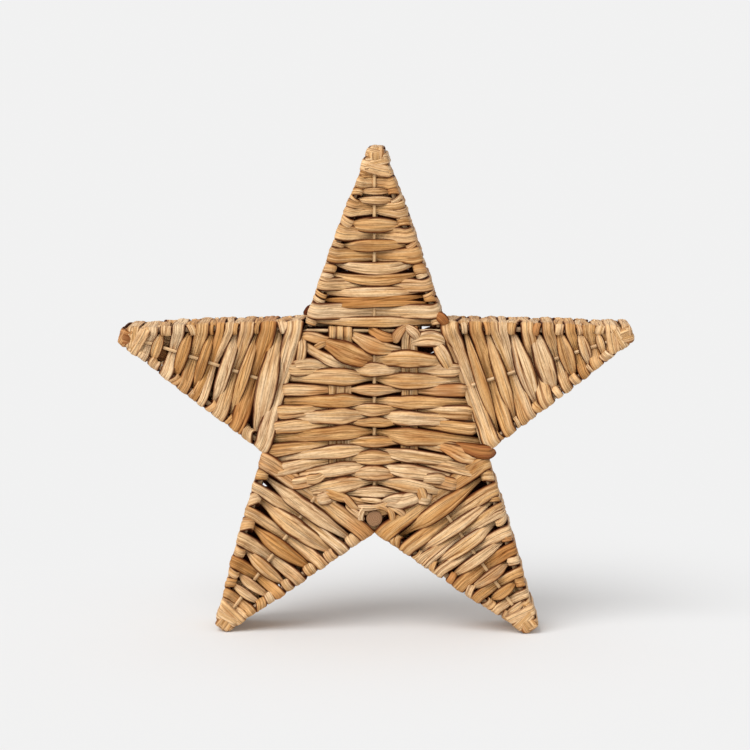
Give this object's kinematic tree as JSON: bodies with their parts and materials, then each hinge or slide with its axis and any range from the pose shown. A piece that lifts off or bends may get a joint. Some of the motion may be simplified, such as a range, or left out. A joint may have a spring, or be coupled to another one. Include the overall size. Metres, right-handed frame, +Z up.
{
  "type": "woven leaf star ornament",
  "caption": "Upright five-pointed star of woven and wound dried leaf over a thin wire frame, hollow, with a front and a back face, standing on its two lower tips.",
  "frame": {"origin": "on the ground, under the middle of the star, midway between the two feet", "axes": "+Z up, +X to the right across the star as seen from the front, the front face towards -Y"},
  "size_m": [0.3566, 0.0508, 0.3391],
  "materials": {
    "dried_leaf": "matt dried leaf strand",
    "tip_leaf": "matt dried leaf, wrapped tight and smooth",
    "band_leaf": "matt dried leaf, finely ribbed",
    "painted_wire": "straw-coloured paint, satin",
    "frame_wire": "brown, covered by the leaf",
    "peg_wood": "rough, cut end"
  },
  "bodies": {
    "root": {"middle_ring_front": "painted_wire", "middle_spoke_front": "painted_wire", "band_warp_front_left": "band_leaf", "band_warp_front_right": "band_leaf", "middle_weave_front": "dried_leaf", "arm_wire_front_top": "frame_wire", "arm_spoke_front_top": "painted_wire", "arm_wire_front_left": "frame_wire", "arm_spoke_front_left": "painted_wire", "arm_wire_front_lower_left": "frame_wire", "arm_spoke_front_lower_left": "painted_wire", "arm_wire_front_lower_right": "frame_wire", "arm_spoke_front_lower_right": "painted_wire", "arm_wire_front_right": "frame_wire", "arm_spoke_front_right": "painted_wire", "middle_ring_back": "painted_wire", "middle_spoke_back": "painted_wire", "band_warp_back_left": "band_leaf", "band_warp_back_right": "band_leaf", "middle_weave_back": "dried_leaf", "arm_wire_back_top": "frame_wire", "arm_spoke_back_top": "painted_wire", "arm_wire_back_left": "frame_wire", "arm_spoke_back_left": "painted_wire", "arm_wire_back_lower_left": "frame_wire", "arm_spoke_back_lower_left": "painted_wire", "arm_wire_back_lower_right": "frame_wire", "arm_spoke_back_lower_right": "painted_wire", "arm_wire_back_right": "frame_wire", "arm_spoke_back_right": "painted_wire", "arm_winding_top": "dried_leaf", "tip_cap_top": "tip_leaf", "arm_winding_left": "dried_leaf", "tip_cap_left": "tip_leaf", "arm_winding_lower_left": "dried_leaf", "tip_cap_lower_left": "tip_leaf", "arm_winding_lower_right": "dried_leaf", "tip_cap_lower_right": "tip_leaf", "arm_winding_right": "dried_leaf", "tip_cap_right": "tip_leaf", "corner_peg": "peg_wood"}
  },
  "joints": []
}
